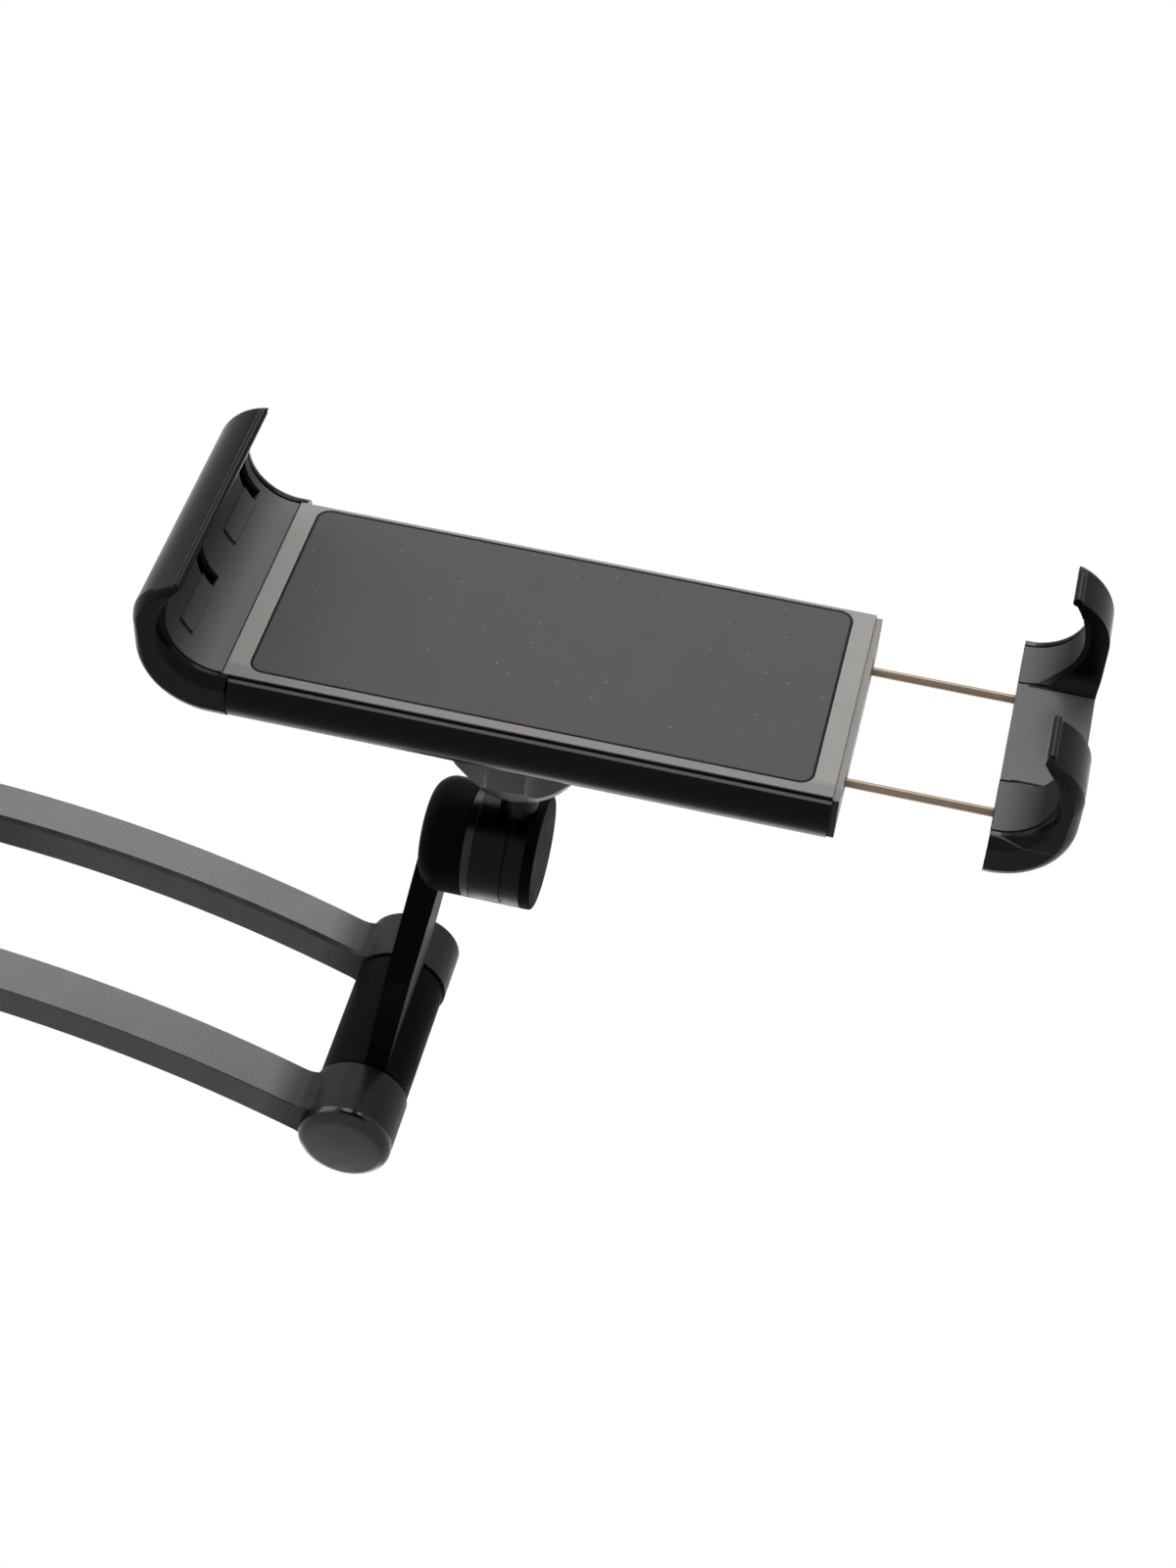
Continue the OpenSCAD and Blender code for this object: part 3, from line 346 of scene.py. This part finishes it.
# The nodes that don't take the finish of their slot, and the finish of each
FINISH_OF_NODE = {
    "left_jaw_liner": "left_inner",
    "right_jaw_liner": "right_inner",
    "blade_arm": "blade_coat",
    "lock_nut": "nut_grey",
    "back_shell": "shell_black",
    "right_jaw": "jaw_face",
    "hub_end_cap": "end_black",
    "ball_stud": "joint_coat",
}

materials = {name: surface(name, **finish) for name, finish in (SLOT_FINISHES | NODE_FINISHES).items()}

for entry in frame["record"]["subparts"]:
    name = entry["node"]
    look = materials[FINISH_OF_NODE.get(name, entry["material_slot"])]
    obj = frame["nodes"][name]
    for slot in obj.material_slots:
        slot.material = look
    if not obj.material_slots:
        obj.data.materials.append(look)

# floor

WHITE = (1.0, 1.0, 1.0)
FLOOR_SIZE = 30.0
FLOOR_Z = -0.60
FLOOR_SEEN = (0.80, 0.80, 0.80)
FLOOR_UNSEEN = (0.15, 0.15, 0.15)

# How far out the floor's glow starts and stops to grow, and its strength at each
GLOW_FROM_TO = (0.8, 3.0)
GLOW_STRENGTH = (0.50, 0.92)


def seen_rays(tree):
    """1 for the rays that see a background: the camera's, and those off gloss and through clear things."""
    path = node(tree, "ShaderNodeLightPath")
    value = path.outputs["Is Camera Ray"]
    for name in ("Is Glossy Ray", "Is Transmission Ray"):
        value = number(tree, "MAXIMUM", value, path.outputs[name])
    return value


bpy.ops.mesh.primitive_plane_add(size=FLOOR_SIZE, location=(0.0, 0.0, FLOOR_Z))
floor = bpy.context.object
floor.name = "floor"

# It glows white for the rays that see a background, less around the object, where its shadow falls
floor_paint = surface("floor_paint", FLOOR_SEEN, 0.9, grain=0.01, bump=0.0001, mottle=0.02, specular=0.0)
tree = floor_paint.node_tree
shader = tree.nodes["Principled BSDF"]
pale = shader.inputs["Base Color"].links[0].from_socket
seen = seen_rays(tree)
tree.links.new(mixed(tree, seen, FLOOR_UNSEEN, pale), shader.inputs["Base Color"])
out_from_middle = length(tree, node(tree, "ShaderNodeTexCoord").outputs["Object"])
glow = number(tree, "MULTIPLY", seen, ramp(tree, out_from_middle, *GLOW_FROM_TO, *GLOW_STRENGTH))
shader.inputs["Emission Color"].default_value = (*WHITE, 1.0)
tree.links.new(glow, shader.inputs["Emission Strength"])
floor.data.materials.append(floor_paint)

# lamps

CRADLE = (0.30, -0.14, 0.0)
BARS = (0.2, -0.06, 0.0)

# Name, place, aim, width and height, and watts of each
LAMPS = (
    ("key", (0.40, -1.20, 1.00), CRADLE, (1.0, 1.0), 15.0),
    ("left", (-0.60, -0.75, 0.45), BARS, (0.7, 0.7), 5.0),
    ("fill", (1.1, -1.0, 0.3), CRADLE, (0.9, 1.0), 0.8),
    ("back", (0.05, 1.25, 0.08), CRADLE, (1.0, 0.6), 4.0),
    ("low_back", (0.15, 1.10, -0.34), CRADLE, (1.0, 0.18), 1.0),
    ("top", (0.3, 0.7, 1.1), CRADLE, (1.0, 0.8), 4.0),
)

for name, at, aim, size, watts in LAMPS:
    light = bpy.data.lights.new(name, "AREA")
    light.shape = "RECTANGLE"
    light.size, light.size_y = size
    light.energy = watts
    lamp = bpy.data.objects.new(name, light)
    scene.collection.objects.link(lamp)
    lamp.location = at
    lamp.rotation_euler = (Vector(aim) - Vector(at)).to_track_quat("-Z", "Y").to_euler()

# sky: white for the rays that see a background, and for the rest a dim light that is stronger above

SKY_FROM_TO = (-0.3, 0.6)
SKY_STRENGTH = (0.03, 0.30)


def glowing(tree):
    """A plain white background."""
    sky = node(tree, "ShaderNodeBackground")
    sky.inputs["Color"].default_value = (*WHITE, 1.0)
    sky.inputs["Strength"].default_value = 1.0
    return sky


world = bpy.data.worlds.new("world")
scene.world = world
world.use_nodes = True
tree = world.node_tree
tree.nodes.clear()
dim = glowing(tree)
height = along(tree, node(tree, "ShaderNodeTexCoord").outputs["Generated"], "Z")
tree.links.new(ramp(tree, height, *SKY_FROM_TO, *SKY_STRENGTH), dim.inputs["Strength"])
either = node(tree, "ShaderNodeMixShader")
tree.links.new(seen_rays(tree), either.inputs[0])
tree.links.new(dim.outputs[0], either.inputs[1])
tree.links.new(glowing(tree).outputs[0], either.inputs[2])
tree.links.new(either.outputs[0], node(tree, "ShaderNodeOutputWorld").inputs["Surface"])

scene.view_settings.view_transform = "Standard"
